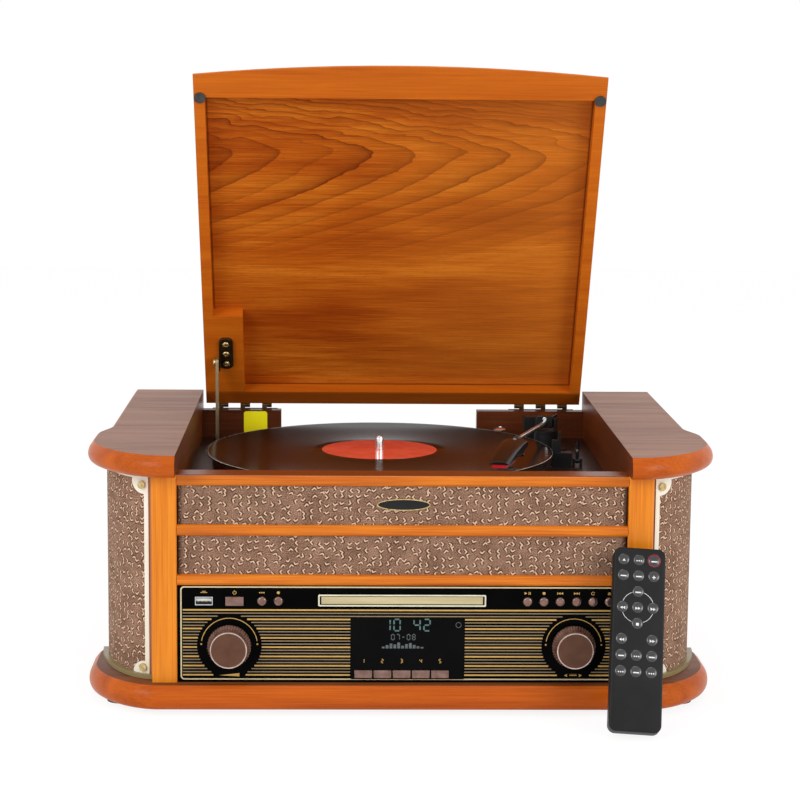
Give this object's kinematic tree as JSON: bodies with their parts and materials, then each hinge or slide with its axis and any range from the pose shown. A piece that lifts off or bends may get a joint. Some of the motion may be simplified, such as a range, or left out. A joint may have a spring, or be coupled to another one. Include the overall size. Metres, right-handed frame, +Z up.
{
  "type": "stereo music centre",
  "caption": "Wooden stereo music centre with record deck under a hinged bowed lid, disc tray, display, rotary knobs, push buttons, curved cloth speaker grilles and a hand remote.",
  "frame": {"origin": "centre of the set's footprint box on the table, at the underside of the feet", "axes": "+Z up, +Y from the front to the back, +X to the right seen from the front"},
  "size_m": [0.513, 0.447, 0.5151],
  "materials": {
    "wood_light": "orange-stained satin lacquer",
    "wood_brown": "red-brown stained satin lacquer",
    "wood_dark": "dark stained",
    "cloth": "taupe patterned grille cloth",
    "trim_cream": "cream satin",
    "rubber_black": "matt",
    "plastic_black": "matt black",
    "deck_brown": "dark brown black satin",
    "fascia_black": "black with gold lines",
    "display_glass": "smoked",
    "steel": "brushed",
    "knob_brown": "brown metallic",
    "tray_cream": "cream champagne",
    "platter_metal": "turned",
    "vinyl": "glossy grooved",
    "brass": "satin",
    "bronze": "dark bronze",
    "board_green": "solder resist",
    "copper": "wound core",
    "speaker_grey": "painted basket",
    "cartridge_red": "red",
    "remote_grey": "charcoal",
    "remote_key": "silicone"
  },
  "bodies": {
    "cabinet": {"base_plinth": "wood_brown", "feet": "rubber_black", "front_frame": "wood_light", "front_grilles": "cloth", "side_grille_left": "cloth", "side_grille_right": "cloth", "grille_trims": "trim_cream", "side_wall_left": "wood_brown", "side_wall_right": "wood_brown", "well_walls": "wood_dark", "wing_left": "wood_brown", "wing_right": "wood_brown", "back_panel": "wood_dark", "jack_panel": "plastic_black", "deck_plate": "deck_brown", "fascia": "fascia_black", "display_window": "display_glass", "usb_socket": "steel", "speakers": "speaker_grey", "main_board": "board_green", "power_transformer": "copper", "cd_mechanism": "steel", "platter_motor": "steel", "drive_belt": "rubber_black", "tonearm_base": "plastic_black", "hinge_leaves_lower": "bronze", "cabinet_screws": "brass"},
    "lid": {"lid_frame": "wood_brown", "lid_panel": "wood_brown", "lid_bumpers": "rubber_black", "hinge_leaves_upper": "bronze", "stay_bracket": "bronze"},
    "stay": {"stay_arm": "bronze"},
    "turntable": {"platter": "platter_metal", "record": "vinyl"},
    "pulley": {"motor_pulley": "brass"},
    "yoke": {"tonearm_yoke": "plastic_black"},
    "tonearm": {"tonearm_arm": "plastic_black", "cartridge": "cartridge_red"},
    "cue": {"cue_lever": "plastic_black"},
    "tray": {"cd_tray": "tray_cream"},
    "volume": {"volume_knob": "knob_brown"},
    "tuner_push_shaft": {"tuner_shaft": "steel"},
    "tuner": {"tuner_knob": "knob_brown"},
    "power_button": {"power_button": "knob_brown"},
    "function_button": {"function_button": "knob_brown"},
    "record_button": {"record_button": "knob_brown"},
    "play_button": {"play_button": "knob_brown"},
    "stop_button": {"stop_button": "knob_brown"},
    "skip_back_button": {"skip_back_button": "knob_brown"},
    "skip_forward_button": {"skip_forward_button": "knob_brown"},
    "play_mode_button": {"play_mode_button": "knob_brown"},
    "eject_button": {"eject_button": "knob_brown"},
    "menu_button": {"menu_button": "knob_brown"},
    "info_button": {"info_button": "knob_brown"},
    "scan_button": {"scan_button": "knob_brown"},
    "preset_button": {"preset_button": "knob_brown"},
    "eq_button": {"eq_button": "knob_brown"},
    "remote": {"remote_case": "remote_grey", "remote_keypad": "remote_key"}
  },
  "joints": [
    {"name": "lid_hinge", "type": "hinge", "parent": "cabinet", "child": "lid", "pos_m": [0, 0.21171, 0.1966], "axis": [1, 0, 0], "range_deg": [0, 60]},
    {"name": "stay_pivot", "type": "hinge", "parent": "lid", "child": "stay", "pos_m": [-0.1648, 0.17771, 0.24129], "axis": [1, 0, 0], "range_deg": [-60, 0]},
    {"name": "platter_spin", "type": "hinge", "parent": "cabinet", "child": "turntable", "pos_m": [-0.016, 0.03471, 0.1823], "axis": [0, 0, -1], "continuous": true},
    {"name": "pulley_spin", "type": "hinge", "parent": "cabinet", "child": "pulley", "pos_m": [-0.09944, 0.11815, 0.175], "axis": [0, 0, -1], "continuous": true},
    {"name": "tonearm_swing", "type": "hinge", "parent": "cabinet", "child": "yoke", "pos_m": [0.138, 0.12671, 0.186], "axis": [0, 0, 1], "range_deg": [-25, 16.4]},
    {"name": "tonearm_lift", "type": "hinge", "parent": "yoke", "child": "tonearm", "pos_m": [0.138, 0.12671, 0.1945], "axis": [0.9593, -0.2823, 0], "range_deg": [-8, 0]},
    {"name": "cue_lever_tilt", "type": "hinge", "parent": "cabinet", "child": "cue", "pos_m": [0.1584, 0.04671, 0.1725], "axis": [1, 0, 0], "range_deg": [-45, 0]},
    {"name": "cd_tray_slide", "type": "slide", "parent": "cabinet", "child": "tray", "axis": [0, -1, 0], "range_m": [0, 0.13]},
    {"name": "volume_turn", "type": "hinge", "parent": "cabinet", "child": "volume", "pos_m": [-0.138, -0.14329, 0.0544], "axis": [0, 1, 0], "range_deg": [-150, 150]},
    {"name": "tuner_push", "type": "slide", "parent": "cabinet", "child": "tuner_push_shaft", "axis": [0, 1, 0], "range_m": [0, 0.0015], "stiffness_N_per_m": 800},
    {"name": "tuner_turn", "type": "hinge", "parent": "tuner_push_shaft", "child": "tuner", "pos_m": [0.138, -0.14329, 0.0544], "axis": [0, 1, 0], "continuous": true},
    {"name": "power_press", "type": "slide", "parent": "cabinet", "child": "power_button", "axis": [0, 1, 0], "range_m": [0, 0.0015], "stiffness_N_per_m": 300},
    {"name": "function_press", "type": "slide", "parent": "cabinet", "child": "function_button", "axis": [0, 1, 0], "range_m": [0, 0.0015], "stiffness_N_per_m": 300},
    {"name": "record_press", "type": "slide", "parent": "cabinet", "child": "record_button", "axis": [0, 1, 0], "range_m": [0, 0.0015], "stiffness_N_per_m": 300},
    {"name": "play_press", "type": "slide", "parent": "cabinet", "child": "play_button", "axis": [0, 1, 0], "range_m": [0, 0.0015], "stiffness_N_per_m": 300},
    {"name": "stop_press", "type": "slide", "parent": "cabinet", "child": "stop_button", "axis": [0, 1, 0], "range_m": [0, 0.0015], "stiffness_N_per_m": 300},
    {"name": "skip_back_press", "type": "slide", "parent": "cabinet", "child": "skip_back_button", "axis": [0, 1, 0], "range_m": [0, 0.0015], "stiffness_N_per_m": 300},
    {"name": "skip_forward_press", "type": "slide", "parent": "cabinet", "child": "skip_forward_button", "axis": [0, 1, 0], "range_m": [0, 0.0015], "stiffness_N_per_m": 300},
    {"name": "play_mode_press", "type": "slide", "parent": "cabinet", "child": "play_mode_button", "axis": [0, 1, 0], "range_m": [0, 0.0015], "stiffness_N_per_m": 300},
    {"name": "eject_press", "type": "slide", "parent": "cabinet", "child": "eject_button", "axis": [0, 1, 0], "range_m": [0, 0.0015], "stiffness_N_per_m": 300},
    {"name": "menu_press", "type": "slide", "parent": "cabinet", "child": "menu_button", "axis": [0, 1, 0], "range_m": [0, 0.0015], "stiffness_N_per_m": 300},
    {"name": "info_press", "type": "slide", "parent": "cabinet", "child": "info_button", "axis": [0, 1, 0], "range_m": [0, 0.0015], "stiffness_N_per_m": 300},
    {"name": "scan_press", "type": "slide", "parent": "cabinet", "child": "scan_button", "axis": [0, 1, 0], "range_m": [0, 0.0015], "stiffness_N_per_m": 300},
    {"name": "preset_press", "type": "slide", "parent": "cabinet", "child": "preset_button", "axis": [0, 1, 0], "range_m": [0, 0.0015], "stiffness_N_per_m": 300},
    {"name": "eq_press", "type": "slide", "parent": "cabinet", "child": "eq_button", "axis": [0, 1, 0], "range_m": [0, 0.0015], "stiffness_N_per_m": 300},
    {"name": "remote_pull_away", "type": "slide", "parent": "cabinet", "child": "remote", "axis": [0, -1, 0], "range_m": [0, 0.3]}
  ],
  "couplings": [
    {"joint": "stay_pivot", "follows": "lid_hinge", "ratio": -1},
    {"joint": "pulley_spin", "follows": "platter_spin", "ratio": 16},
    {"joint": "cue_lever_tilt", "follows": "tonearm_lift", "ratio": 5.6}
  ]
}
